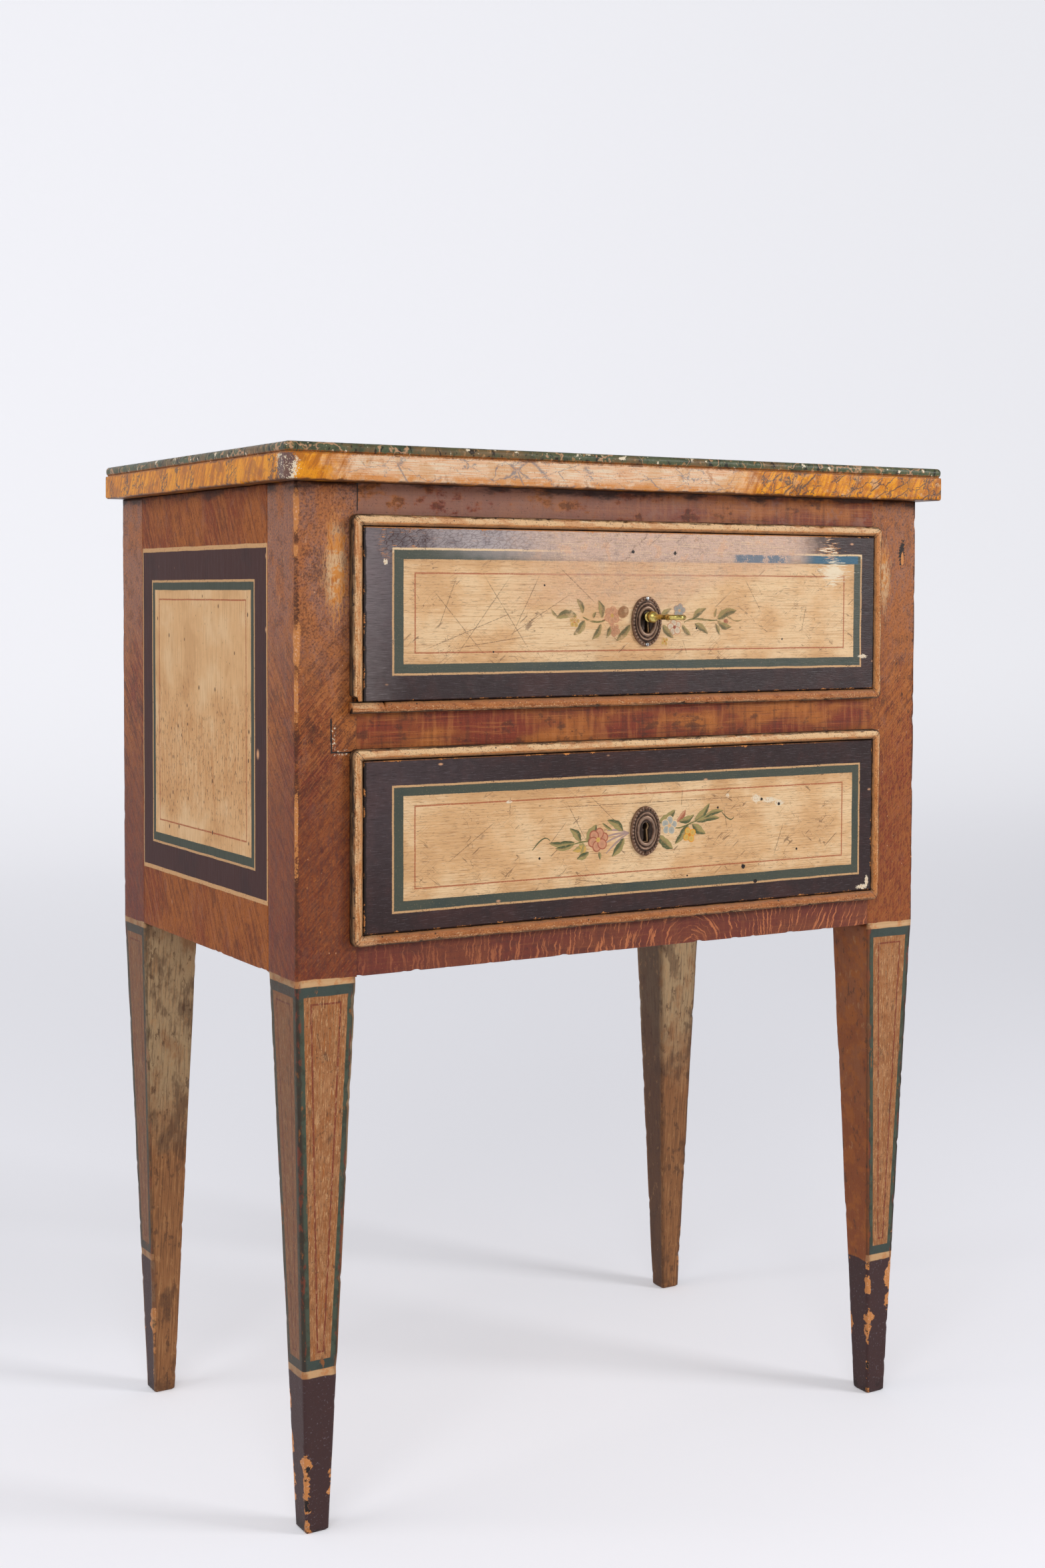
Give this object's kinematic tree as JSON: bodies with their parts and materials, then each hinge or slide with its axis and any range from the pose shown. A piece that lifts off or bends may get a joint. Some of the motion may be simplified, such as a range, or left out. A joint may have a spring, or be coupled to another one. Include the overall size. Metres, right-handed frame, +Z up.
{
  "type": "commode chest",
  "caption": "Small painted neoclassical commode chest with tapered square legs, faux marble top, lipped dovetailed drawers with garlands, oval escutcheons and a brass key",
  "frame": {"origin": "centre of the bounding box at floor level, with the key in the upper lock", "axes": "+Z up, +X to the right seen from the front, +Y to the back, so the drawers open towards -Y"},
  "size_m": [0.654, 0.4442, 0.86],
  "materials": {
    "top_faux_marble": "satin paint, green marbled bead over an ochre fascia, worn",
    "case_faux_wood": "satin paint, reddish brown wood graining, worn",
    "leg_paint": "satin paint, cream panels with blue-green borders, worn",
    "drawer_paint": "satin paint, cream field in blue-green and aubergine borders",
    "strip_paint": "satin paint, ochre, worn to bare wood on its edges",
    "bare_wood": "bare dry pine and poplar",
    "lock_iron": "dark rubbed iron",
    "escutcheon_bronze": "dark patinated bronze",
    "nail_steel": "round nail head",
    "key_brass": "handled brass"
  },
  "bodies": {
    "case": {"back_left_post": "leg_paint", "back_right_post": "leg_paint", "bottom_back_rail": "bare_wood", "bottom_board": "bare_wood", "bottom_front_rail": "case_faux_wood", "front_left_post": "leg_paint", "front_right_post": "leg_paint", "left_glue_block": "bare_wood", "left_kicker": "bare_wood", "left_side_panel": "case_faux_wood", "lower_back_board": "bare_wood", "lower_left_guide": "bare_wood", "lower_left_runner": "bare_wood", "lower_right_guide": "bare_wood", "lower_right_runner": "bare_wood", "middle_back_rail": "bare_wood", "middle_front_rail": "case_faux_wood", "right_glue_block": "bare_wood", "right_kicker": "bare_wood", "right_side_panel": "case_faux_wood", "top_back_rail": "bare_wood", "top_board": "top_faux_marble", "top_front_rail": "case_faux_wood", "upper_back_board": "bare_wood", "upper_left_guide": "bare_wood", "upper_left_runner": "bare_wood", "upper_right_guide": "bare_wood", "upper_right_runner": "bare_wood"},
    "upper_drawer": {"upper_drawer_front": "drawer_paint", "upper_drawer_left_side": "bare_wood", "upper_drawer_right_side": "bare_wood", "upper_drawer_back": "bare_wood", "upper_drawer_bottom": "bare_wood", "upper_left_strip": "strip_paint", "upper_right_strip": "strip_paint", "upper_top_strip": "strip_paint", "upper_bottom_strip": "strip_paint", "upper_lock_case": "lock_iron", "upper_escutcheon": "escutcheon_bronze", "upper_escutcheon_top_nail": "nail_steel", "upper_escutcheon_bottom_nail": "nail_steel", "upper_bottom_strip_patch": "strip_paint"},
    "lower_drawer": {"lower_drawer_front": "drawer_paint", "lower_drawer_left_side": "bare_wood", "lower_drawer_right_side": "bare_wood", "lower_drawer_back": "bare_wood", "lower_drawer_bottom": "bare_wood", "lower_left_strip": "strip_paint", "lower_right_strip": "strip_paint", "lower_top_strip": "strip_paint", "lower_bottom_strip": "strip_paint", "lower_lock_case": "lock_iron", "lower_escutcheon": "escutcheon_bronze", "lower_escutcheon_top_nail": "nail_steel", "lower_escutcheon_bottom_nail": "nail_steel"},
    "upper_key": {"key": "key_brass"},
    "upper_bolt": {"upper_lock_bolt": "lock_iron"},
    "lower_bolt": {"lower_lock_bolt": "lock_iron"}
  },
  "joints": [
    {"name": "upper_drawer_slide", "type": "slide", "parent": "case", "child": "upper_drawer", "axis": [0, -1, 0], "range_m": [0, 0.26]},
    {"name": "lower_drawer_slide", "type": "slide", "parent": "case", "child": "lower_drawer", "axis": [0, -1, 0], "range_m": [0, 0.26]},
    {"name": "key_turn", "type": "hinge", "parent": "upper_drawer", "child": "upper_key", "pos_m": [0.008, -0.1705, 0.72585], "axis": [0, -1, 0], "range_deg": [0, 180.2]},
    {"name": "upper_bolt_throw", "type": "slide", "parent": "upper_drawer", "child": "upper_bolt", "axis": [0, 0, 1], "range_m": [0, 0.007]},
    {"name": "lower_bolt_throw", "type": "slide", "parent": "lower_drawer", "child": "lower_bolt", "axis": [0, 0, 1], "range_m": [0, 0.00701]}
  ],
  "couplings": [
    {"joint": "key_turn", "follows": "upper_bolt_throw", "rad_per_m": 448.8}
  ]
}
